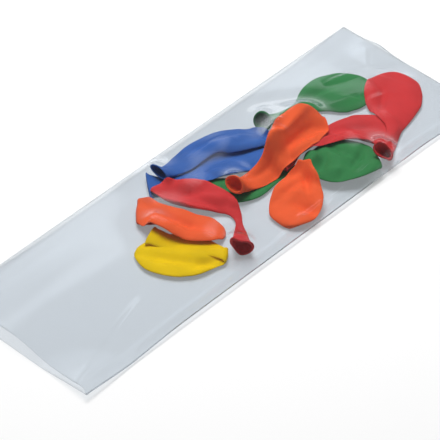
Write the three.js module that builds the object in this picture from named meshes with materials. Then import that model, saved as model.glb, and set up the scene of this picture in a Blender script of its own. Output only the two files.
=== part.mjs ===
// Clear flat bag of thin film, open at one end, with twelve empty rubber balloons lying loose in it.
// Millimetres. +X runs along the bag to its welded end, +Z is up, and the bag lies on z = 0.
import * as THREE from "three";

// The bag: a lay-flat tube of film, welded across one end
const BAG_LENGTH = 450;
const BAG_WIDTH = 150;
const FILM = 0.3;
const FILM_PARTING = 0.1;
const WELD_WIDTH = 5;
const GAPE = 9;
const EDGE_LIFT = 3;
const EDGE_PULL = 2;
const FLAT_SHARE = 0.8;

// A balloon as it leaves its mould
const BALLOON_LENGTH = 108;
const BULB_RADIUS = 15;
const NECK_RADIUS = 5;
const MOUTH_RADIUS = 7.5;
const LIP = 1;
const NECK_SHARE = 0.27;
const BULB_SHARE = 0.64;
const FUNNEL_DEPTH = 12;

// How the balloons lie: thickness of an empty bulb, room around it and under the film, tightness of a
// fold and its room for the lip, and how far a balloon and the film bridge beyond what they lie on
const BULB_DEPTH = 4;
const CLEARANCE = 0.4;
const FILM_ROOM = 1;
const SIDE_ROOM = 8;
const END_ROOM = 6;
const FOLD_RADIUS = 2.3;
const LIP_ROOM = 2;
const BALLOON_REACH = 4.5;
const FILM_REACH = 9;

// Meshing
const MAP_STEP = 1;
const BALLOON_SEGMENTS = 16;
const FILM_NODES_ABOVE = 25;
const FILM_NODES_BELOW = 11;
const FILLED_STEP = 10;
const EMPTY_STEP = 22;

// Where each balloon lies, from the bottom of the pile up. x and y place its mouth, or its tip where
// the neck is folded, measured from the welded end and from the middle line. Headings are in degrees
// along it from mouth to tip, and fold is the share of its length where the neck doubles back, on top
// unless it goes under. open is how round the mouth stands, spread how wide the bulb lies, roll how far
// it leans on one edge and twist where the neck is wrung thin.
const BALLOONS = [
  { name: "green_c", x: 146, y: -19, headings: [165, 166, 176, 160, 132, 115, 112], spread: 0.6 },
  { name: "green_b", x: 150, y: -27, headings: [147, 147, 150, 148, 140, 128, 118], fold: 0.45, under: true },
  { name: "yellow", x: 312, y: 12, headings: [120, 121, 122, 132, 135, 126, 118], fold: 0.47, longer: 1.15 },
  { name: "green_a", x: 140, y: 38, headings: [-22, -20, -8, -8, -28, -47, -54], open: 0.9 },
  { name: "blue_b", x: 256, y: 50, headings: [-38, -30, -12, -8, -22, -28, -22], spread: 0.7 },
  { name: "blue_a", x: 243, y: 54, headings: [-12, -4, 2, -16, -38, -42, -38], open: 0.8, spread: 0.75 },
  { name: "red_b", x: 168, y: -6, headings: [-10, -6, -6, -16, -30, -38, -45], open: 0.35,
    spread: 0.75 },
  { name: "orange_c", x: 217, y: -63, headings: [35, 36, 36, 34, 32, 31, 30].map((turn) => turn - 180),
    fold: 0.31, under: true, spread: 0.85 },
  { name: "red_a", x: 102, y: -58, headings: [20, 22, 32, 44, 44, 40, 36], open: 0.75 },
  { name: "orange_b", x: 252, y: -29, headings: [-62, -70, -80, -78, -66, -50, -36], fold: 0.3, under: true,
    spread: 0.9 },
  { name: "red_c", x: 260, y: -53, headings: [48, 48, 70, 112, 116, 122, 118], open: 0.7, spread: 0.68,
    twist: 0.36 },
  { name: "orange_a", x: 217, y: -4, headings: [-20, -6, 6, 12, 12, 10, 12], open: 0.9, spread: 0.72,
    roll: 22, longer: 1.05 },
];

const COLOURS = {
  green: 0x3c8750,
  red: 0xd23c3c,
  orange: 0xee5c2d,
  blue: 0x4470be,
  yellow: 0xdeb900,
};

const degrees = THREE.MathUtils.degToRad;

// Eases from 0 to 1 as the value goes from one end to the other, whichever of them is larger
function smooth(from, to, value) {
  const share = THREE.MathUtils.clamp((value - from) / (to - from), 0, 1);
  return share * share * (3 - 2 * share);
}

// A height map over the bag's plan, kept as rows along X
const MAP_COLUMNS = Math.ceil(BAG_LENGTH / MAP_STEP) + 1;
const MAP_ROWS = Math.ceil(BAG_WIDTH / MAP_STEP) + 1;

function newMap(heightAt) {
  const map = new Float64Array(MAP_COLUMNS * MAP_ROWS);
  for (let row = 0; row < MAP_ROWS; row++) {
    for (let column = 0; column < MAP_COLUMNS; column++) {
      const x = column * MAP_STEP - BAG_LENGTH / 2;
      const y = row * MAP_STEP - BAG_WIDTH / 2;
      map[row * MAP_COLUMNS + column] = heightAt(x, y);
    }
  }
  return map;
}

function sample(map, x, y) {
  const across = THREE.MathUtils.clamp((x + BAG_LENGTH / 2) / MAP_STEP, 0, MAP_COLUMNS - 1.001);
  const up = THREE.MathUtils.clamp((y + BAG_WIDTH / 2) / MAP_STEP, 0, MAP_ROWS - 1.001);
  const column = Math.floor(across);
  const row = Math.floor(up);
  const at = row * MAP_COLUMNS + column;
  const near = THREE.MathUtils.lerp(map[at], map[at + 1], across - column);
  const far = THREE.MathUtils.lerp(map[at + MAP_COLUMNS], map[at + MAP_COLUMNS + 1], across - column);
  return THREE.MathUtils.lerp(near, far, up - row);
}

// Combines each cell with its neighbours along one direction of the map
function sweep(map, reach, along, combine) {
  const stride = along === "x" ? 1 : MAP_COLUMNS;
  const count = along === "x" ? MAP_COLUMNS : MAP_ROWS;
  const result = new Float64Array(map.length);
  for (let k = 0; k < map.length; k++) {
    const place = along === "x" ? k % MAP_COLUMNS : Math.floor(k / MAP_COLUMNS);
    const values = [];
    for (let step = -reach; step <= reach; step++) {
      const clamped = THREE.MathUtils.clamp(place + step, 0, count - 1);
      values.push(map[k + (clamped - place) * stride]);
    }
    result[k] = combine(values);
  }
  return result;
}

const largest = (values) => Math.max(...values);
const average = (values) => values.reduce((sum, value) => sum + value, 0) / values.length;

// A smooth surface that passes over everything in the map and bridges a little way beyond it
function drapeOver(map, bridge) {
  const reach = Math.ceil(bridge / MAP_STEP);
  let surface = sweep(sweep(map, reach, "x", largest), reach, "y", largest);
  const half = Math.floor(reach / 2);
  for (let pass = 0; pass < 2; pass++) {
    surface = sweep(sweep(surface, half, "x", average), half, "y", average);
  }
  return surface;
}

// Calls visit with every map cell under a geometry's triangles and the height of the triangle there
function overCells(geometry, visit) {
  const position = geometry.attributes.position;
  const index = geometry.index;
  const corners = [new THREE.Vector3(), new THREE.Vector3(), new THREE.Vector3()];
  for (let face = 0; face < index.count; face += 3) {
    corners.forEach((corner, k) => corner.fromBufferAttribute(position, index.getX(face + k)));
    const [a, b, c] = corners;
    const area = (b.x - a.x) * (c.y - a.y) - (c.x - a.x) * (b.y - a.y);
    if (Math.abs(area) < 1e-9) continue;
    const column = (x) => (x + BAG_LENGTH / 2) / MAP_STEP;
    const row = (y) => (y + BAG_WIDTH / 2) / MAP_STEP;
    const lastColumn = Math.floor(column(Math.max(a.x, b.x, c.x)));
    const lastRow = Math.floor(row(Math.max(a.y, b.y, c.y)));
    for (let j = Math.ceil(row(Math.min(a.y, b.y, c.y))); j <= lastRow; j++) {
      for (let i = Math.ceil(column(Math.min(a.x, b.x, c.x))); i <= lastColumn; i++) {
        const x = i * MAP_STEP - BAG_LENGTH / 2;
        const y = j * MAP_STEP - BAG_WIDTH / 2;
        const v = ((x - a.x) * (c.y - a.y) - (c.x - a.x) * (y - a.y)) / area;
        const w = ((b.x - a.x) * (y - a.y) - (x - a.x) * (b.y - a.y)) / area;
        if (v < -1e-6 || w < -1e-6 || v + w > 1 + 1e-6) continue;
        visit(j * MAP_COLUMNS + i, a.z + v * (b.z - a.z) + w * (c.z - a.z));
      }
    }
  }
}

// Lays a flexible shape on the ground map, raising it wherever it still dips into what lies below
function settle(shape, ground, bridge, clearance) {
  const support = drapeOver(ground, bridge);
  for (let round = 0; round < 8; round++) {
    const geometry = shape((x, y) => sample(support, x, y));
    const dips = newMap(() => 0);
    let deepest = 0;
    overCells(geometry, (cell, height) => {
      const dip = ground[cell] + clearance - height;
      dips[cell] = Math.max(dips[cell], dip);
      deepest = Math.max(deepest, dip);
    });
    if (deepest <= 0) {
      break;
    }
    drapeOver(dips, BALLOON_REACH).forEach((dip, cell) => (support[cell] += dip));
  }
  return support;
}

// The empty bag's own lines: edges drawn in and lifted beside the balloons, flat at both ends
const filled = (x) => smooth(-BAG_LENGTH / 2, -BAG_LENGTH / 4, x) * smooth(BAG_LENGTH / 2, BAG_LENGTH / 3, x);
const halfWidth = (x) => BAG_WIDTH / 2 - EDGE_PULL * filled(x);
const edgeHeight = (x) => FILM + FILM_PARTING + EDGE_LIFT * filled(x);

function bottomFilm(x, y) {
  const half = halfWidth(x);
  const rise = Math.max(0, Math.abs(y) / half - FLAT_SHARE) / (1 - FLAT_SHARE);
  return (edgeHeight(x) - FILM - FILM_PARTING) * Math.min(rise, 1);
}

const INNER_END = BAG_LENGTH / 2 - WELD_WIDTH;

function freeFilm(x, y) {
  const share = Math.min(Math.abs(y) / halfWidth(x), 1);
  const gape = GAPE * smooth(INNER_END, INNER_END - 45, x);
  return edgeHeight(x) + FILM + FILM_PARTING + gape * (1 - share * share);
}

// One moulded balloon from the blind inside of its mouth round the rolled lip to its tip, as radius
// and distance along it
function mouldedProfile(extraRings) {
  const profile = [
    { radius: 0, along: FUNNEL_DEPTH },
    { radius: NECK_RADIUS * 0.5, along: FUNNEL_DEPTH * 0.8 },
    { radius: MOUTH_RADIUS - 2 * LIP, along: LIP },
    { radius: MOUTH_RADIUS - LIP, along: 0 },
    { radius: MOUTH_RADIUS, along: LIP },
    { radius: MOUTH_RADIUS - LIP, along: 2 * LIP },
  ];
  const shares = [0.07, 0.14, 0.2, 0.27, 0.34, 0.42, 0.51, 0.6, 0.7, 0.8, 0.89, 0.96, ...extraRings];
  shares.sort((a, b) => a - b);
  for (const share of shares) {
    profile.push({ radius: mouldedRadius(share), along: share * BALLOON_LENGTH });
  }
  profile.push({ radius: 0, along: BALLOON_LENGTH });
  return profile;
}

function mouldedRadius(share) {
  if (share < NECK_SHARE) {
    return NECK_RADIUS + (MOUTH_RADIUS - LIP - NECK_RADIUS) * smooth(0.15, 0, share);
  }
  if (share < BULB_SHARE) {
    return NECK_RADIUS + (BULB_RADIUS - NECK_RADIUS) * smooth(NECK_SHARE, BULB_SHARE, share);
  }
  const toTip = (share - BULB_SHARE) / (1 - BULB_SHARE);
  return BULB_RADIUS * Math.sqrt(Math.max(0, 1 - toTip * toTip));
}

// The course a balloon follows: at each step its place, direction, sideways and upward vectors
function courseOf(balloon) {
  const steps = 108;
  const length = BALLOON_LENGTH * (balloon.longer ?? 1);
  const foldShare = (Math.PI * FOLD_RADIUS) / length;
  const course = [];
  for (let k = 0; k <= steps; k++) {
    const share = k / steps;
    const place = share * (balloon.headings.length - 1);
    const before = Math.min(Math.floor(place), balloon.headings.length - 2);
    const yaw = degrees(
      THREE.MathUtils.lerp(balloon.headings[before], balloon.headings[before + 1], place - before),
    );
    let turned = 0;
    let lift = 0;
    if (balloon.fold) {
      turned = THREE.MathUtils.clamp((balloon.fold - share) / foldShare + 0.5, 0, 1);
    }
    if (balloon.under) {
      turned = -turned;
      const overMouth = LIP_ROOM * smooth(balloon.fold, balloon.fold + 0.1, share);
      lift = (2 * FOLD_RADIUS + overMouth) * smooth(2 * balloon.fold + 0.18, 2 * balloon.fold, share);
    }
    const pitch = -turned * Math.PI;
    const sideways = new THREE.Vector3(-Math.sin(yaw), Math.cos(yaw), 0);
    const flat = Math.cos(pitch);
    const forward = new THREE.Vector3(Math.cos(yaw) * flat, Math.sin(yaw) * flat, Math.sin(pitch));
    const upward = new THREE.Vector3().crossVectors(forward, sideways);
    course.push({ place: new THREE.Vector3(), forward, sideways, upward, lift });
  }
  const stride = length / steps;
  for (let k = 1; k <= steps; k++) {
    course[k].place.copy(course[k - 1].place).addScaledVector(course[k].forward, stride);
  }
  const anchor = balloon.fold ? course[steps].place.clone() : course[0].place.clone();
  anchor.x -= BAG_LENGTH / 2 - balloon.x;
  anchor.y -= balloon.y;
  course.forEach((step) => step.place.sub(anchor));
  return course;
}

// Turns a lathed profile into a laid shape: place gives the new spot of each ring's corners. turned says
// which quads are split along the other diagonal, so that the two faces of a thin wall match.
function laidLathe(profile, segments, place, turned) {
  const points = profile.map((point) => new THREE.Vector2(point.radius, point.along));
  const geometry = new THREE.LatheGeometry(points, segments);
  const position = geometry.attributes.position;
  const index = geometry.index.array;
  for (let k = 0; k < index.length; k += 6) {
    const [near, beside, ahead, across] = index.slice(k, k + 4);
    if (!turned(near % points.length, Math.floor(near / points.length))) continue;
    index.set([near, beside, across, near, across, ahead], k);
  }
  for (let k = 0; k < position.count; k++) {
    const spot = place(k % points.length, Math.floor(k / points.length) % segments);
    position.setXYZ(k, spot.x, spot.y, spot.z);
  }
  geometry.deleteAttribute("normal");
  geometry.deleteAttribute("uv");
  return geometry;
}

// A balloon pressed flat along its course, resting on the support below it
function balloonShape(balloon, support, shift) {
  const creases = [];
  if (balloon.fold) creases.push(...[-0.035, -0.012, 0.012, 0.035].map((offset) => balloon.fold + offset));
  if (balloon.twist) creases.push(balloon.twist - 0.03, balloon.twist, balloon.twist + 0.03);
  const profile = mouldedProfile(creases);
  const course = courseOf(balloon);
  const open = balloon.open ?? 0.15;
  return laidLathe(profile, BALLOON_SEGMENTS, (ring, segment) => {
    const { radius, along } = profile[ring];
    const share = along / BALLOON_LENGTH;
    const step = course[Math.round(share * (course.length - 1))];
    const flatness = 1 - open * smooth(0.24, 0, share);
    const pressed = (size) => (BULB_DEPTH / 2) * Math.sqrt(size / BULB_RADIUS);
    const slack = (size) => size * (1 - flatness) + pressed(size) * flatness;
    const narrowed = 1 - (1 - (balloon.spread ?? 1)) * smooth(NECK_SHARE / 2, BULB_SHARE, share);
    const wrung = balloon.twist ? 1 - 0.65 * smooth(0.1, 0, Math.abs(share - balloon.twist)) : 1;
    const width = radius * (1 + (Math.PI / 2 - 1) * flatness) * narrowed * wrung;
    const roll = degrees(balloon.roll ?? 0) * smooth(0.1, 0.5, share);
    const angle = (2 * Math.PI * segment) / BALLOON_SEGMENTS;
    const across = width * Math.cos(angle);
    const above = slack(radius) * Math.sin(angle);
    const spot = step.place.clone();
    spot.addScaledVector(step.sideways, across * Math.cos(roll) - above * Math.sin(roll));
    spot.addScaledVector(step.upward, across * Math.sin(roll) + above * Math.cos(roll));
    spot.x += shift.x;
    spot.y += shift.y;
    const rest = slack(mouldedRadius(share)) + LIP * smooth(0.1, 0.03, share) + width * Math.sin(roll);
    spot.z += step.lift + rest + support(spot.x, spot.y) + CLEARANCE;
    return spot;
  }, (ring, segment) => segment >= BALLOON_SEGMENTS / 2);
}

// How far a balloon has to move to lie clear of the bag's folded edges and weld
function shiftInside(balloon) {
  const flat = balloonShape(balloon, () => 0, { x: 0, y: 0 });
  flat.computeBoundingBox();
  const { min, max } = flat.boundingBox;
  const side = BAG_WIDTH / 2 - SIDE_ROOM;
  const end = INNER_END - END_ROOM;
  const y = Math.max(0, -side - min.y) - Math.max(0, max.y - side);
  return { x: -Math.max(0, max.x - end), y };
}

function addMesh(group, name, geometry, colour, roughness) {
  const material = new THREE.MeshStandardMaterial({ color: colour, roughness, metalness: 0 });
  const mesh = new THREE.Mesh(geometry, material);
  mesh.name = name;
  group.add(mesh);
}

// Piles the balloons on the bottom film, each over those before it, and gives the height of the pile
function addBalloons(group) {
  const ground = newMap((x, y) => bottomFilm(x, y) + FILM);
  const pile = newMap(() => 0);
  for (const balloon of BALLOONS) {
    const shift = shiftInside(balloon);
    const shape = (support) => balloonShape(balloon, support, shift);
    const support = settle(shape, ground, BALLOON_REACH, CLEARANCE);
    const geometry = shape((x, y) => sample(support, x, y));
    overCells(geometry, (cell, height) => {
      ground[cell] = Math.max(ground[cell], height);
      pile[cell] = Math.max(pile[cell], height);
    });
    const colour = COLOURS[balloon.name.split("_")[0]];
    addMesh(group, `balloon_${balloon.name}`, geometry, colour, 0.5);
  }
  return pile;
}

// Places along the bag where its film is drawn, closer together where it lies over balloons
function filmStations() {
  const reach = Math.max(...BALLOONS.map((balloon) => balloon.x)) + BALLOON_LENGTH / 3;
  const change = Math.max(-BAG_LENGTH / 2 + EMPTY_STEP, BAG_LENGTH / 2 - reach);
  const empty = Math.ceil((change + BAG_LENGTH / 2) / EMPTY_STEP);
  const full = Math.ceil((INNER_END - change) / FILLED_STEP);
  const stations = [];
  for (let k = 0; k < empty; k++) {
    stations.push(THREE.MathUtils.lerp(-BAG_LENGTH / 2, change, k / empty));
  }
  for (let k = 0; k <= full; k++) {
    stations.push(THREE.MathUtils.lerp(change, INNER_END, k / full));
  }
  return stations;
}

// The upper film over the balloons, as a sheet that settles onto them
function upperFilm(stations, support) {
  const sheet = new THREE.PlaneGeometry(1, 1, stations.length - 1, FILM_NODES_ABOVE - 1);
  const position = sheet.attributes.position;
  for (let k = 0; k < position.count; k++) {
    const x = stations[k % stations.length];
    const row = Math.floor(k / stations.length);
    const y = halfWidth(x) * (1 - (2 * row) / (FILM_NODES_ABOVE - 1));
    position.setXYZ(k, x, y, upperHeight(x, y, support) - FILM);
  }
  return sheet;
}

function upperHeight(x, y, support) {
  const edge = smooth(halfWidth(x), halfWidth(x) - SIDE_ROOM / 2, Math.abs(y));
  const end = smooth(INNER_END, INNER_END - END_ROOM, x);
  return Math.max(freeFilm(x, y), (support(x, y) + FILM_ROOM + FILM) * edge * end);
}

// The bag: one closed skin with an outer and an inner face, joined round the open end
function addBag(group, pile) {
  const stations = filmStations();
  const support = settle((raised) => upperFilm(stations, raised), pile, FILM_REACH, FILM_ROOM);
  const raised = (x, y) => sample(support, x, y);
  const profile = [{ radius: 0, along: 0, x: INNER_END, inset: FILM }];
  for (const x of stations.slice().reverse()) {
    profile.push({ radius: 1, along: profile.length, x, inset: FILM });
  }
  for (const x of stations) {
    profile.push({ radius: 2, along: profile.length, x, inset: 0 });
  }
  profile.push({ radius: 2, along: profile.length, x: BAG_LENGTH / 2, inset: 0 });
  profile.push({ radius: 0, along: profile.length, x: BAG_LENGTH / 2, inset: 0 });
  const segments = FILM_NODES_ABOVE + FILM_NODES_BELOW;
  const geometry = laidLathe(profile, segments, (ring, segment) => {
    const { radius, x, inset } = profile[ring];
    const half = halfWidth(x) - inset;
    const middle = edgeHeight(x);
    if (radius === 0) return new THREE.Vector3(x, 0, middle);
    const atSide = FILM_PARTING + FILM - inset;
    if (segment < FILM_NODES_ABOVE) {
      const share = 1 - (2 * segment) / (FILM_NODES_ABOVE - 1);
      const y = halfWidth(x) * share;
      if (Math.abs(share) === 1) return new THREE.Vector3(x, half * share, middle + atSide);
      return new THREE.Vector3(x, y, upperHeight(x, y, raised) - inset);
    }
    const share = (2 * (segment - FILM_NODES_ABOVE)) / (FILM_NODES_BELOW - 1) - 1;
    const y = halfWidth(x) * share;
    if (Math.abs(share) === 1) return new THREE.Vector3(x, half * share, middle - atSide);
    return new THREE.Vector3(x, y, bottomFilm(x, y) + inset);
  }, (ring) => ring < stations.length);
  addMesh(group, "bag", geometry, 0xdfe6ec, 0.25);
}

const part = new THREE.Group();
const pile = addBalloons(part);
addBag(part, pile);

export default part;
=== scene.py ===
# A clear flat bag of thin plastic film, open at one end, with twelve empty latex balloons lying loose in it.
# Metres. +X runs along the bag to its welded end, +Z is up, and the bag lies on z = 0.
import math

import bmesh
import bpy
import numpy as np
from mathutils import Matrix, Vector


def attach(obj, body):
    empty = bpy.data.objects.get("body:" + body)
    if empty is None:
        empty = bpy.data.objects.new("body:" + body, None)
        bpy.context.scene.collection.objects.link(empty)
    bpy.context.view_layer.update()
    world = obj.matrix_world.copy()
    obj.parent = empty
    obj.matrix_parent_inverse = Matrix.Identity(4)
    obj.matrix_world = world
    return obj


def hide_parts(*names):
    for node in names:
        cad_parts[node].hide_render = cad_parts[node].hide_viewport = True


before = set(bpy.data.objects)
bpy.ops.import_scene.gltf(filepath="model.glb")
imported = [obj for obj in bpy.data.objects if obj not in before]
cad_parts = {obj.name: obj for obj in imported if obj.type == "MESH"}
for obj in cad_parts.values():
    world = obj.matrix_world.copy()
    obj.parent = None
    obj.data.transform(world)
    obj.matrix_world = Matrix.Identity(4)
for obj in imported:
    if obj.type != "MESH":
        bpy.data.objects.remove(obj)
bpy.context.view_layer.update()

# The bag lying empty: a tube of film pressed flat, 450 mm long and 150 mm wide, welded across its far end.
# The lower film lies on the table, and its folded sides stand up a little where the balloons fill the bag.
bag_length = 0.450
bag_width = 0.150
film_thickness = 0.00006
edge_lift = 0.003
edge_pull = 0.002
flat_share = 0.8
map_step = 0.001
map_x = np.linspace(-bag_length / 2, bag_length / 2, round(bag_length / map_step) + 1)
map_y = np.linspace(-bag_width / 2, bag_width / 2, round(bag_width / map_step) + 1)


def smooth(start, end, value):
    t = np.clip((np.asarray(value, float) - start) / (end - start), 0, 1)
    return t * t * (3 - 2 * t)


def filled(x):
    """How much the balloons fill the bag here, from 0 at its ends to 1."""
    return smooth(-0.225, -0.1125, x) * smooth(0.225, 0.150, x)


def half_width(x):
    return bag_width / 2 - edge_pull * filled(x)


def edge_height(x):
    return 0.0004 + edge_lift * filled(x)


def lower_film(x, y):
    share = np.clip(np.abs(y) / half_width(x), 0, 1)
    return edge_height(x) * smooth(flat_share, 1, share)


# Two maps of heights: where the next balloon comes to rest, and the tops of the balloons laid so far.
ground = lower_film(map_x[:, None], map_y[None, :]) + film_thickness
pile = np.zeros_like(ground)

# An empty balloon: a dipped latex skin with a long neck, a rolled lip round its mouth and a round bulb.
# Its outline is spun round its length as the mould does it, and then pressed flat where it lies.
# Each one lies loose on what is under it, and its dents and creases are where the skin buckled.
balloon_length = 0.108
bulb_radius = 0.015
neck_radius = 0.005
mouth_radius = 0.0075
lip_radius = 0.0009
neck_share = 0.27
bulb_share = 0.64
bulb_depth = 0.004
lip_room = 0.0008
clearance = 0.0003
balloon_reach = 0.0045
side_room = 0.005
dent_limit = 0.75
skin_steps = 72
course_steps = 217


def sample(heights, x, y):
    """The height of a map at any place, read between its cells."""
    across = np.clip((np.asarray(x) + bag_length / 2) / map_step, 0, len(map_x) - 1.001)
    up = np.clip((np.asarray(y) + bag_width / 2) / map_step, 0, len(map_y) - 1.001)
    i, j = across.astype(int), up.astype(int)
    a, b = across - i, up - j
    low = heights[i, j] * (1 - a) + heights[i + 1, j] * a
    high = heights[i, j + 1] * (1 - a) + heights[i + 1, j + 1] * a
    return low * (1 - b) + high * b


def cells(x, y):
    """The nearest cells of a map."""
    i = np.clip(np.rint((x + bag_length / 2) / map_step).astype(int), 0, len(map_x) - 1)
    j = np.clip(np.rint((y + bag_width / 2) / map_step).astype(int), 0, len(map_y) - 1)
    return i, j


def shifted(heights, axis, step):
    """A map moved along one axis, its edge repeated."""
    margin = [(abs(step), abs(step)) if k == axis else (0, 0) for k in (0, 1)]
    padded = np.pad(heights, margin, mode="edge")
    start = abs(step) + step
    return padded.take(np.arange(start, start + heights.shape[axis]), axis=axis)


def bridged(heights, reach):
    """A soft sheet over the map: it spans the dips narrower than its reach and rounds the peaks."""
    count = round(reach / map_step)
    for axis in (0, 1):
        heights = np.max([shifted(heights, axis, k) for k in range(-count, count + 1)], axis=0)
    for axis in (0, 1, 0, 1):
        half = (count + 1) // 2
        heights = np.mean([shifted(heights, axis, k) for k in range(-half, half + 1)], axis=0)
    return heights


def moulded_radius(share):
    flare = (mouth_radius - lip_radius - neck_radius) * smooth(0.15, 0, share)
    swell = (bulb_radius - neck_radius) * smooth(neck_share, bulb_share, share)
    to_tip = np.clip((share - bulb_share) / (1 - bulb_share), 0, 1)
    return (neck_radius + flare + swell) * np.sqrt(1 - to_tip ** 2)


def stretched(share, widths):
    """How much wider or narrower than moulded the skin lies, from half-widths told at equal shares."""
    fine = np.linspace(0, 1, course_steps)
    told = np.interp(fine, np.linspace(0, 1, len(widths)), widths)
    ratio = told / (moulded_radius(np.minimum(fine, 0.93)) * math.pi / 2)
    for _ in range(2):
        ratio = np.convolve(np.pad(ratio, 7, mode="edge"), np.full(15, 1 / 15), mode="valid")
    return np.interp(share, fine, ratio)


def mould():
    """The skin as it leaves the mould, along Z from its mouth, with a blind throat inside the neck."""
    outline = [(0.0, 0.0085), (0.0018, 0.0082), (0.0031, 0.0072)]
    outline += [(0.0040, 0.0056), (0.0048, 0.0040), (0.0055, 0.0026)]
    for turn in np.linspace(-150, 150, 9):
        swing = math.radians(turn)
        outline.append((mouth_radius - lip_radius + lip_radius * math.sin(swing),
                        lip_radius - lip_radius * math.cos(swing)))
    for share in np.concatenate([np.linspace(0.03, 0.66, 62), np.linspace(0.67, 1, 34) ** 0.8]):
        outline.append((float(moulded_radius(min(share, 1))), balloon_length * min(share, 1)))
    skin = bmesh.new()
    chain = [skin.verts.new((radius, 0, along)) for radius, along in outline]
    edges = [skin.edges.new(pair) for pair in zip(chain, chain[1:])]
    bmesh.ops.spin(skin, geom=chain + edges, cent=(0, 0, 0), axis=(0, 0, 1), dvec=(0, 0, 0),
                   angle=2 * math.pi, steps=skin_steps, use_merge=True, use_duplicate=False)
    bmesh.ops.remove_doubles(skin, verts=skin.verts, dist=1e-6)
    bmesh.ops.recalc_face_normals(skin, faces=skin.faces)
    return skin


def course(headings, length, fold, under, tilt, fold_radius):
    """Where the balloon's middle line runs: places, sideways and upward directions at equal steps."""
    share = np.linspace(0, 1, course_steps)
    yaw = np.radians(np.interp(share, np.linspace(0, 1, len(headings)), headings))
    yaw = np.convolve(np.pad(yaw, 12, mode="edge"), np.full(25, 1 / 25), mode="valid")
    pitch = -np.radians(tilt) * smooth(0.2, 0.02, share)
    lift = np.zeros_like(share)
    if fold:
        turned = np.clip((fold - share) / (math.pi * fold_radius / length) + 0.5, 0, 1)
        pitch = pitch + (turned if under else -turned) * math.pi
        if under:
            room = lip_room * smooth(fold, fold + 0.1, share)
            lift = (2 * fold_radius + room) * smooth(2 * fold + 0.18, 2 * fold, share)
    sideways = np.stack([-np.sin(yaw), np.cos(yaw), 0 * yaw], axis=1)
    forward = np.stack([np.cos(yaw) * np.cos(pitch), np.sin(yaw) * np.cos(pitch), np.sin(pitch)], axis=1)
    upward = np.cross(forward, sideways)
    place = np.cumsum(forward, axis=0) * length / (course_steps - 1)
    return share, place, sideways, upward, lift


def pressed_depth(size):
    """Half the thickness of a flat skin that was moulded to this radius."""
    return bulb_depth / 2 * np.sqrt(size / bulb_radius)


def lay(name, material, x, y, headings, widths, open_mouth=0.15, fold=None, under=False, tilt=0,
        roll=0, longer=1, puff=1.2, fold_radius=0.0016, skew=0, dents=()):
    """Presses a moulded balloon flat along its course on top of what already lies in the bag."""
    skin = mould()
    moulded = np.array([vertex.co for vertex in skin.verts])
    radius = np.hypot(moulded[:, 0], moulded[:, 1])
    angle = np.arctan2(moulded[:, 1], moulded[:, 0])
    share = moulded[:, 2] / balloon_length
    length = balloon_length * longer
    steps, place, sideways, upward, lift = course(headings, length, fold, under, tilt, fold_radius)
    start = place[-1] if fold else place[0]
    place = place - start + np.array([bag_length / 2 - x, y, 0])

    def along(values):
        return np.stack([np.interp(share, steps, values[:, k]) for k in range(3)], axis=1)

    flatness = 1 - open_mouth * smooth(0.24, 0, share)
    wide = math.pi / 2 * stretched(share, widths)
    width = radius * wide
    roundness = (1 - flatness) * np.clip(wide, 0.45, 1.1)
    flatness = flatness * (1 + (puff - 1) * smooth(neck_share, bulb_share, share))
    depth = radius * roundness + pressed_depth(radius) * flatness
    outer = moulded_radius(share)
    rest = outer * roundness + pressed_depth(outer) * flatness + lip_radius * smooth(0.1, 0.03, share)
    stand = np.maximum.accumulate(moulded_radius(steps) * math.pi / 2 * stretched(steps, widths))
    lean = math.radians(roll) * smooth(0.1, 0.5, share)
    across = width * np.cos(angle)
    above = depth * np.sin(angle)
    top = smooth(-0.1, 0.5, np.sin(angle))
    for dent_share, dent_across, dent_length, dent_width, turn, dent_depth in dents:
        ahead = (share - dent_share) * balloon_length
        beside = across - dent_across
        swing = math.radians(turn)
        forth = (ahead * math.cos(swing) + beside * math.sin(swing)) / dent_length
        side = (beside * math.cos(swing) - ahead * math.sin(swing)) / dent_width
        above = above - dent_depth * np.exp(-forth ** 2 - side ** 2) * top
    deepest = -dent_limit * depth * np.sin(angle)
    above = np.where(np.sin(angle) > 0, np.maximum(above, deepest), above)
    spots = along(place)
    spots = spots + along(sideways) * (across * np.cos(lean) - above * np.sin(lean))[:, None]
    spots = spots + along(upward) * (across * np.sin(lean) + above * np.cos(lean))[:, None]
    spots[:, 2] += np.interp(share, steps, lift) + rest + clearance
    spots[:, 2] += np.interp(share, steps, stand) * np.sin(lean)
    if skew:
        forward = np.cross(along(sideways), [0, 0, 1])
        spots = spots - forward * (skew * across * smooth(fold + 0.3, fold, share))[:, None]
    room = bag_width / 2 - side_room
    spots[:, 1] += max(0, -room - spots[:, 1].min()) - max(0, spots[:, 1].max() - room)
    under_it = ground.copy()
    i, j = cells(spots[:, 0], spots[:, 1])
    for _ in range(6):
        height = spots[:, 2] + sample(bridged(under_it, balloon_reach), spots[:, 0], spots[:, 1])
        lowest = np.full_like(ground, np.inf)
        np.minimum.at(lowest, (i, j), height)
        short = ground + clearance - lowest
        if short.max() < 0.00005:
            break
        under_it = under_it + np.maximum(short, 0)
    spots[:, 2] = height
    np.maximum.at(ground, (i, j), height)
    np.maximum.at(pile, (i, j), height)
    for vertex, spot in zip(skin.verts, spots):
        vertex.co = spot
    mesh = bpy.data.meshes.new(name)
    skin.to_mesh(mesh)
    skin.free()
    mesh.shade_smooth()
    mesh.attributes.new("along", "FLOAT", "POINT").data.foreach_set("value", share.astype(np.float32))
    mesh.materials.append(material)
    balloon = bpy.data.objects.new(name, mesh)
    bpy.context.scene.collection.objects.link(balloon)
    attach(balloon, "root")
    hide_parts("balloon_" + name)
    return balloon


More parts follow.
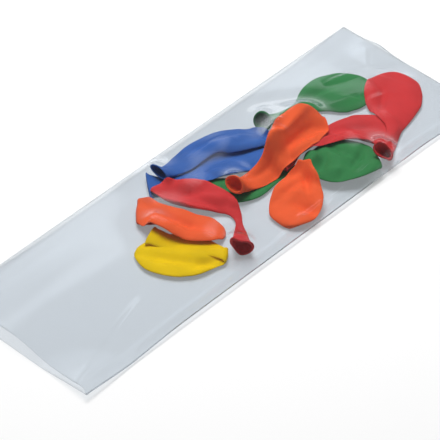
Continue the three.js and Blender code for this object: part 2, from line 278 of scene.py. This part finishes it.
def latex(name, colour):
    """Dipped latex with a dull powdered skin: denser at the lip, fading out along the neck, faintly mottled.
    """
    material = bpy.data.materials.new(name)
    material.use_nodes = True
    nodes, links = material.node_tree.nodes, material.node_tree.links
    shader = nodes["Principled BSDF"]
    place = nodes.new("ShaderNodeTexCoord")
    cloud = nodes.new("ShaderNodeTexNoise")
    cloud.inputs["Scale"].default_value = 55
    cloud.inputs["Detail"].default_value = 4
    links.new(place.outputs["Object"], cloud.inputs["Vector"])
    share = nodes.new("ShaderNodeAttribute")
    share.attribute_name = "along"
    dense = nodes.new("ShaderNodeValToRGB")
    dense.color_ramp.elements[0].position = 0.0
    dense.color_ramp.elements[0].color = (0.9, 0.9, 0.9, 1)
    dense.color_ramp.elements[1].position = 0.45
    dense.color_ramp.elements[1].color = (1, 1, 1, 1)
    links.new(share.outputs["Fac"], dense.inputs["Fac"])
    ramp = nodes.new("ShaderNodeValToRGB")
    ramp.color_ramp.elements[0].position = 0.3
    ramp.color_ramp.elements[0].color = [channel * 0.93 for channel in colour] + [1]
    ramp.color_ramp.elements[1].position = 0.7
    ramp.color_ramp.elements[1].color = [min(1, channel * 1.05) for channel in colour] + [1]
    links.new(cloud.outputs["Fac"], ramp.inputs["Fac"])
    tint = nodes.new("ShaderNodeMix")
    tint.data_type = "RGBA"
    tint.blend_type = "MULTIPLY"
    tint.inputs["Factor"].default_value = 1
    links.new(ramp.outputs["Color"], tint.inputs["A"])
    links.new(dense.outputs["Color"], tint.inputs["B"])
    links.new(tint.outputs["Result"], shader.inputs["Base Color"])
    grain = nodes.new("ShaderNodeTexNoise")
    grain.inputs["Scale"].default_value = 240
    grain.inputs["Detail"].default_value = 5
    grain.inputs["Distortion"].default_value = 0.8
    links.new(place.outputs["Object"], grain.inputs["Vector"])
    bump = nodes.new("ShaderNodeBump")
    bump.inputs["Strength"].default_value = 0.3
    bump.inputs["Distance"].default_value = 0.0006
    links.new(grain.outputs["Fac"], bump.inputs["Height"])
    links.new(bump.outputs["Normal"], shader.inputs["Normal"])
    shader.inputs["Roughness"].default_value = 0.5
    shader.inputs["Specular IOR Level"].default_value = 0.25
    return material


# The two green balloons at the bottom: one bent in a curve along the middle, mostly covered by others,
# and one with a wide bulb, its neck folded under it. Green dipped latex, lying loose on the lower film.
green = latex("green latex", (0.040, 0.225, 0.067))
lay("green_c", green, 0.146, -0.019, [165, 166, 176, 160, 132, 115, 112],
    widths=[0.004, 0.003, 0.004, 0.0065, 0.012, 0.014, 0.014, 0.0105, 0.006],
    dents=[(0.62, 0.0, 0.03, 0.004, 0, 0.002)])
lay("green_b", green, 0.150, -0.027, [147, 147, 150, 148, 140, 128, 118],
    fold=0.45, under=True, puff=1.6,
    widths=[0.008, 0.008, 0.008, 0.008, 0.010, 0.018, 0.023, 0.025, 0.025, 0.019, 0.010],
    dents=[(0.62, 0.004, 0.018, 0.0035, 55, 0.0036), (0.72, -0.010, 0.016, 0.004, -35, 0.0032),
           (0.85, 0.006, 0.012, 0.004, 80, 0.0028), (0.75, 0.013, 0.014, 0.004, 20, -0.0014)])

# The yellow balloon, nearest to the open end: a wide flat bulb with its neck folded back over it.
# Yellow dipped latex, lying loose on the lower film.
yellow = latex("yellow latex", (0.92, 0.60, 0.0))
lay("yellow", yellow, 0.3145, 0.0095, [112, 112, 115, 130, 135, 126, 118],
    fold=0.47, longer=1.25, puff=1.5,
    widths=[0.009, 0.0085, 0.0075, 0.006, 0.0035, 0.0105, 0.020, 0.0245, 0.0235, 0.019, 0.011],
    dents=[(0.75, 0.007, 0.022, 0.004, -8, 0.0028), (0.6, 0.010, 0.012, 0.004, 30, 0.0026)])

# The green balloon by the bag's left side: a long straight neck with an open ring, and a smooth round
# bulb with two hollows. Dipped latex in the same green, lying loose on the lower film.
lay("green_a", green, 0.142, 0.036, [14, -16, -10, -8, -28, -47, -54], open_mouth=0.9, tilt=22,
    puff=1.4, widths=[0.0075, 0.0055, 0.0055, 0.0065, 0.016, 0.023, 0.025, 0.021, 0.012],
    dents=[(0.60, 0.005, 0.020, 0.005, 10, 0.0038), (0.86, -0.006, 0.009, 0.0045, -8, 0.0032),
           (0.72, -0.012, 0.02, 0.004, 12, -0.001)])

# The two blue balloons, one lying along the other: the lower one has a wide flat mouth and a deep hollow,
# the upper one a half-open mouth. Blue dipped latex, both loose.
blue = latex("blue latex", (0.046, 0.138, 0.44))
lay("blue_b", blue, 0.256, 0.052, [-38, -34, -14, -8, -22, -28, -22], puff=1.9,
    widths=[0.013, 0.0115, 0.010, 0.0115, 0.016, 0.020, 0.020, 0.016, 0.009],
    dents=[(0.62, 0.005, 0.028, 0.007, -4, 0.0055), (0.44, 0.0, 0.004, 0.012, 0, 0.003)])
lay("blue_a", blue, 0.243, 0.053, [4, -4, 2, -16, -38, -42, -38],
    open_mouth=0.5, tilt=12, puff=1.5,
    widths=[0.008, 0.008, 0.011, 0.012, 0.0125, 0.0155, 0.0160, 0.0125, 0.0065],
    dents=[(0.55, 0.003, 0.03, 0.004, -6, 0.0026), (0.8, -0.004, 0.014, 0.006, 20, 0.0026)])

# The red balloon in the middle of the far half, its neck covered by the pile and its bulb lying across
# the green one. Red dipped latex, loose.
red = latex("red latex", (0.69, 0.042, 0.043))
lay("red_b", red, 0.168, -0.006, [-10, -6, -6, -16, -30, -38, -45], open_mouth=0.35, puff=1.4,
    widths=[0.010, 0.009, 0.008, 0.010, 0.014, 0.0175, 0.020, 0.018, 0.012],
    dents=[(0.72, 0.004, 0.022, 0.0045, -6, 0.0032), (0.5, -0.006, 0.015, 0.004, 10, 0.0026)])

# The orange balloon at the bag's right side: a drop-shaped bulb, creased into flats, with its neck folded
# under it. Orange dipped latex, loose.
orange = latex("orange latex", (0.95, 0.128, 0.034))
lay("orange_c", orange, 0.2135, -0.0645, [-145, -144, -144, -146, -148, -149, -150],
    fold=0.31, under=True, longer=0.9, puff=1.7,
    widths=[0.007, 0.006, 0.005, 0.004, 0.009, 0.015, 0.019, 0.021, 0.0205, 0.018, 0.011],
    dents=[(0.5, 0.004, 0.02, 0.0035, 12, 0.0034), (0.62, -0.008, 0.016, 0.004, -30, 0.0034),
           (0.78, 0.009, 0.012, 0.005, 50, 0.0038), (0.7, 0.0, 0.01, 0.006, 0, 0.0022)])

# The red balloon at the welded end: a round flat bulb, a narrow neck and an open ring that stands up and
# faces the bag's mouth. Dipped latex in the same red, resting on its neighbour.
lay("red_a", red, 0.1076, -0.0625, [26, 26, 32, 44, 44, 40, 36], open_mouth=0.9, tilt=30,
    longer=1.07, puff=1.3,
    widths=[0.0075, 0.0054, 0.0050, 0.0062, 0.0150, 0.0225, 0.0240, 0.0215, 0.0125],
    dents=[(0.62, 0.010, 0.020, 0.003, -10, 0.0024), (0.80, 0.012, 0.012, 0.004, 30, 0.0026)])

# The orange balloon over the yellow one: its neck is folded under, which leaves a square end, and the
# bulb has a dimple. Dipped latex in the same orange, loose.
lay("orange_b", orange, 0.2495, -0.0265, [-62, -70, -80, -78, -66, -50, -36],
    fold=0.3, under=True, skew=0.6, puff=1.5,
    widths=[0.007, 0.007, 0.007, 0.012, 0.0145, 0.0155, 0.0165, 0.018, 0.018, 0.016, 0.011],
    dents=[(0.72, -0.002, 0.016, 0.006, 0, 0.0034), (0.5, 0.004, 0.02, 0.004, -8, 0.0026)])

# The red balloon with the twisted neck: a narrow pointed bulb lying on the blue ones, a thin twist, and a
# cone that opens to a standing ring. Dipped latex in the same red, loose.
lay("red_c", red, 0.260, -0.053, [46, 46, 50, 108, 121, 126, 122], open_mouth=0.95, longer=1.1,
    puff=1.5, widths=[0.0085, 0.007, 0.0052, 0.0022, 0.0050, 0.0105, 0.0140, 0.0152, 0.0145, 0.0105, 0.0045],
    dents=[(0.72, -0.003, 0.018, 0.005, 10, 0.0032), (0.7, 0.011, 0.02, 0.003, 0, -0.001)])

# The orange balloon on top of the pile: it leans on the others like a tent, with a ridge along one side, a
# hollow flank under it and an open ring. Dipped latex in the same orange, loose.
lay("orange_a", orange, 0.217, -0.004, [4, -6, 0, 8, 11, 10, 10], open_mouth=0.95, tilt=24,
    roll=40, longer=1.06, puff=1.8, widths=[0.008, 0.008, 0.009, 0.011, 0.017, 0.021, 0.0215, 0.0195, 0.014],
    dents=[(0.68, -0.0075, 0.030, 0.0115, 0, 0.0085), (0.66, 0.013, 0.034, 0.004, 0, -0.0024),
           (0.3, 0.002, 0.014, 0.003, 0, 0.0015)])

# The bag round the balloons: one tube of clear film, drawn lengthwise and welded across its far end. Its
# upper film spans from one balloon to the next and sinks to the folded sides, the weld and the open end,
# and it dims what is under it a little and mirrors the room.
gape = 0.009
weld_width = 0.005
film_room = 0.0005
mouth_step = 0.003
wave_height = 0.0012
wave_length = 0.075
wave_start = 0.011
settling_rounds = 500
gx, gy = np.meshgrid(map_x, map_y, indexing="ij")
share_across = np.clip(np.abs(gy) / half_width(gx), 0, 1)
crown = gape * smooth(bag_length / 2 - weld_width, bag_length / 2 - weld_width - 0.045, gx)
crown = crown * (0.4 + 0.6 * smooth(-0.04, -0.18, gx))
crown = crown * (1 - smooth(-0.16, -0.225, gx) * smooth(-0.005, -0.05, gy))
free = edge_height(gx) + 0.0001 + crown * (1 - share_across ** 2)
wave = wave_height * np.cos(2 * math.pi * (gy - wave_start) / wave_length)
free = free + wave * smooth(1, 0.75, share_across) * crown / gape
rim = edge_height(gx) + 0.0001
over_pile = (bridged(pile, 0.005) + film_room) * (pile > 0)
least = np.maximum(over_pile, np.maximum(free, lower_film(gx, gy) + 0.0003))
fixed = (np.abs(gy) >= half_width(gx) - map_step) | (gx > bag_length / 2 - weld_width)
upper = np.maximum(bridged(pile, 0.009) + film_room, free)
for _ in range(settling_rounds):
    lengthwise = shifted(upper, 0, 1) + shifted(upper, 0, -1)
    mean = (lengthwise + shifted(upper, 1, 1) + shifted(upper, 1, -1)) / 4
    upper = np.where(fixed, rim, np.maximum(mean, least))
for axis in (0, 1, 0, 1):
    upper = np.mean([shifted(upper, axis, k) for k in range(-2, 3)], axis=0)
upper = np.where(fixed, rim, np.maximum(upper, least))
# Creases in the upper film: both ends, half-width and height.
creases = [
    ((0.1357, 0.0070), (0.1646, 0.0015), 0.0030, 0.0012),
    ((0.1673, -0.0100), (0.1884, -0.0161), 0.0040, 0.0012),
    ((0.0221, -0.0610), (0.0190, -0.0700), 0.0025, 0.0015),
    ((0.2180, 0.0375), (0.1960, 0.0180), 0.0024, 0.0040),
    ((0.1960, 0.0180), (0.1560, 0.0330), 0.0028, 0.0028),
    ((0.1960, 0.0180), (0.2090, -0.0120), 0.0028, 0.0024),
    ((-0.0600, -0.0655), (0.2100, -0.0650), 0.0026, 0.0026),
    ((-0.2204, -0.0640), (-0.1307, -0.0372), 0.0040, 0.0026),
]
for (x1, y1), (x2, y2), wide, high in creases:
    length = (x2 - x1) ** 2 + (y2 - y1) ** 2
    t = np.clip(((gx - x1) * (x2 - x1) + (gy - y1) * (y2 - y1)) / length, 0, 1)
    off = np.hypot(gx - x1 - t * (x2 - x1), gy - y1 - t * (y2 - y1))
    upper = upper + high * np.exp(-((off / wide) ** 2)) * (0.35 + 0.65 * np.sin(math.pi * t)) * ~fixed


def corner_lift(x, y):
    """How far the near corner and the kink in the weld curl up off the table."""
    near = 0.0045 * smooth(0.055, 0, math.hypot(x + bag_length / 2, y + bag_width / 2))
    far = 0.003 * math.exp(-(((y - 0.036) / 0.012) ** 2)) * smooth(0.195, 0.225, x)
    return float(near + far)


film = bmesh.new()
bmesh.ops.create_grid(film, x_segments=225, y_segments=150, size=0.5)
for vertex in film.verts:
    x = vertex.co.x * bag_length
    around = (vertex.co.y + 0.5) * 2
    side = 1 - 2 * around if around <= 1 else 2 * around - 3
    y = float(half_width(x)) * side
    if around < 1:
        x += mouth_step * float(smooth(-0.18, -0.225, x)) * min(1, (1 - abs(side)) * 12)
    if abs(abs(side) - 1) < 1e-6 or vertex.co.x > 0.5 - 1e-6:
        z = float(edge_height(x)) + 0.00005
    elif around < 1:
        z = float(sample(upper, x, y))
    else:
        z = float(lower_film(x, y))
    vertex.co = (x, y, z + corner_lift(x, y))
bmesh.ops.remove_doubles(film, verts=film.verts, dist=1e-6)
bmesh.ops.recalc_face_normals(film, faces=film.faces)
bag_mesh = bpy.data.meshes.new("bag_film")
film.to_mesh(bag_mesh)
film.free()
bag_mesh.shade_smooth()
bag = bpy.data.objects.new("bag_film", bag_mesh)
bpy.context.scene.collection.objects.link(bag)
wall = bag.modifiers.new("wall", "SOLIDIFY")
wall.thickness = film_thickness
wall.offset = -1

clear = bpy.data.materials.new("clear film")
clear.use_nodes = True
nodes, links = clear.node_tree.nodes, clear.node_tree.links
gloss = nodes["Principled BSDF"]
gloss.inputs["Base Color"].default_value = (0.86, 0.9, 0.94, 1)
gloss.inputs["Metallic"].default_value = 1
spot = nodes.new("ShaderNodeTexCoord")
drawn = nodes.new("ShaderNodeMapping")
drawn.inputs["Scale"].default_value = (5, 70, 5)
links.new(spot.outputs["Object"], drawn.inputs["Vector"])
streaks = nodes.new("ShaderNodeTexNoise")
streaks.inputs["Scale"].default_value = 2
streaks.inputs["Detail"].default_value = 3
links.new(drawn.outputs["Vector"], streaks.inputs["Vector"])
dulled = nodes.new("ShaderNodeMapRange")
dulled.inputs["From Min"].default_value = 0.3
dulled.inputs["From Max"].default_value = 0.7
dulled.inputs["To Min"].default_value = 0.08
dulled.inputs["To Max"].default_value = 0.18
links.new(streaks.outputs["Fac"], dulled.inputs["Value"])
links.new(dulled.outputs["Result"], gloss.inputs["Roughness"])
through = nodes.new("ShaderNodeBsdfTransparent")
through.inputs["Color"].default_value = (0.934, 0.946, 0.957, 1)
facing = nodes.new("ShaderNodeLayerWeight")
facing.inputs["Blend"].default_value = 0.5
grazing = nodes.new("ShaderNodeMath")
grazing.operation = "POWER"
grazing.inputs[1].default_value = 5
links.new(facing.outputs["Facing"], grazing.inputs[0])
mirrored = nodes.new("ShaderNodeMapRange")
mirrored.inputs["To Min"].default_value = 0.034
mirrored.inputs["To Max"].default_value = 1.0
links.new(grazing.outputs["Value"], mirrored.inputs["Value"])
film_mix = nodes.new("ShaderNodeMixShader")
links.new(mirrored.outputs["Result"], film_mix.inputs["Fac"])
links.new(through.outputs["BSDF"], film_mix.inputs[1])
links.new(gloss.outputs["BSDF"], film_mix.inputs[2])
links.new(film_mix.outputs["Shader"], nodes["Material Output"].inputs["Surface"])
bag_mesh.materials.append(clear)
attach(bag, "root")
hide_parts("bag")

# The stage: a white table top that keeps the soft shadow of the bag. A little light of its own, which only
# the camera and the film's gloss see, takes it to white.
floor = bmesh.new()
bmesh.ops.create_grid(floor, x_segments=1, y_segments=1, size=4)
floor_mesh = bpy.data.meshes.new("floor")
floor.to_mesh(floor_mesh)
floor.free()
table = bpy.data.objects.new("floor", floor_mesh)
table.location.z = -0.0003
bpy.context.scene.collection.objects.link(table)
white = bpy.data.materials.new("white table")
white.use_nodes = True
nodes, links = white.node_tree.nodes, white.node_tree.links
matt = nodes["Principled BSDF"]
matt.inputs["Base Color"].default_value = (0.6, 0.6, 0.6, 1)
matt.inputs["Roughness"].default_value = 1
matt.inputs["Specular IOR Level"].default_value = 0
matt.inputs["Emission Color"].default_value = (1, 1, 1, 1)
ray = nodes.new("ShaderNodeLightPath")
sights = nodes.new("ShaderNodeMath")
sights.operation = "MAXIMUM"
links.new(ray.outputs["Is Camera Ray"], sights.inputs[0])
links.new(ray.outputs["Is Glossy Ray"], sights.inputs[1])
level = nodes.new("ShaderNodeMath")
level.operation = "MULTIPLY"
level.inputs[1].default_value = 0.32
links.new(sights.outputs["Value"], level.inputs[0])
links.new(level.outputs["Value"], matt.inputs["Emission Strength"])
floor_mesh.materials.append(white)

# The light: a plain room, paler low down, with one soft window that the film mirrors, white to the camera.
# One large soft lamp high behind the bag gives the form and the shadow.
room = bpy.data.worlds.new("room")
bpy.context.scene.world = room
room.use_nodes = True
nodes, links = room.node_tree.nodes, room.node_tree.links
sky = nodes["Background"]
sky.inputs["Color"].default_value = (1, 1, 1, 1)
direction = nodes.new("ShaderNodeTexCoord")
window = nodes.new("ShaderNodeVectorMath")
window.operation = "DOT_PRODUCT"
window.inputs[1].default_value = Vector((0.535, 0.6255, 0.5677)).normalized()
links.new(direction.outputs["Generated"], window.inputs[0])
pane = nodes.new("ShaderNodeMapRange")
pane.interpolation_type = "SMOOTHSTEP"
pane.inputs["From Min"].default_value = math.cos(math.radians(11.5))
pane.inputs["From Max"].default_value = math.cos(math.radians(2))
pane.inputs["To Min"].default_value = 0.0
pane.inputs["To Max"].default_value = 1.3
links.new(window.outputs["Value"], pane.inputs["Value"])
height = nodes.new("ShaderNodeSeparateXYZ")
links.new(direction.outputs["Generated"], height.inputs["Vector"])
walls = nodes.new("ShaderNodeMapRange")
walls.interpolation_type = "SMOOTHSTEP"
walls.inputs["From Min"].default_value = 0.05
walls.inputs["From Max"].default_value = 0.32
walls.inputs["To Min"].default_value = 0.6
walls.inputs["To Max"].default_value = 0.2
links.new(height.outputs["Z"], walls.inputs["Value"])
both = nodes.new("ShaderNodeMath")
links.new(walls.outputs["Result"], both.inputs[0])
links.new(pane.outputs["Result"], both.inputs[1])
ray = nodes.new("ShaderNodeLightPath")
seen = nodes.new("ShaderNodeMix")
seen.inputs["B"].default_value = 1.0
links.new(ray.outputs["Is Camera Ray"], seen.inputs["Factor"])
links.new(both.outputs["Value"], seen.inputs["A"])
links.new(seen.outputs["Result"], sky.inputs["Strength"])
lamp = bpy.data.lights.new("soft lamp", "AREA")
lamp.shape = "SQUARE"
lamp.size = 0.9
lamp.energy = 25
lamp_object = bpy.data.objects.new("soft lamp", lamp)
lamp_object.location = (0.30, 0.42, 1.30)
lamp_object.rotation_euler = (-Vector(lamp_object.location)).to_track_quat("-Z", "Y").to_euler()
lamp_object.visible_camera = False
lamp_object.visible_glossy = False
bpy.context.scene.collection.objects.link(lamp_object)

# The view: a long lens from over the open end's corner, looking down along the bag, which runs out of the
# picture on both sides.
azimuth = math.radians(-46.609)
elevation = math.radians(42.574)
distance = 2.543486
back = Vector((math.sin(azimuth) * math.cos(elevation), -math.cos(azimuth) * math.cos(elevation),
               math.sin(elevation)))
eye = bpy.data.cameras.new("camera")
eye.sensor_width = 36
eye.lens = 265.92
eye.shift_x = -0.0072
eye.shift_y = -0.0413
camera = bpy.data.objects.new("camera", eye)
camera.location = back * distance
camera.rotation_euler = back.to_track_quat("Z", "Y").to_euler()
bpy.context.scene.collection.objects.link(camera)
bpy.context.scene.camera = camera
bpy.context.scene.view_settings.view_transform = "Standard"
bpy.context.scene.cycles.transparent_max_bounces = 24
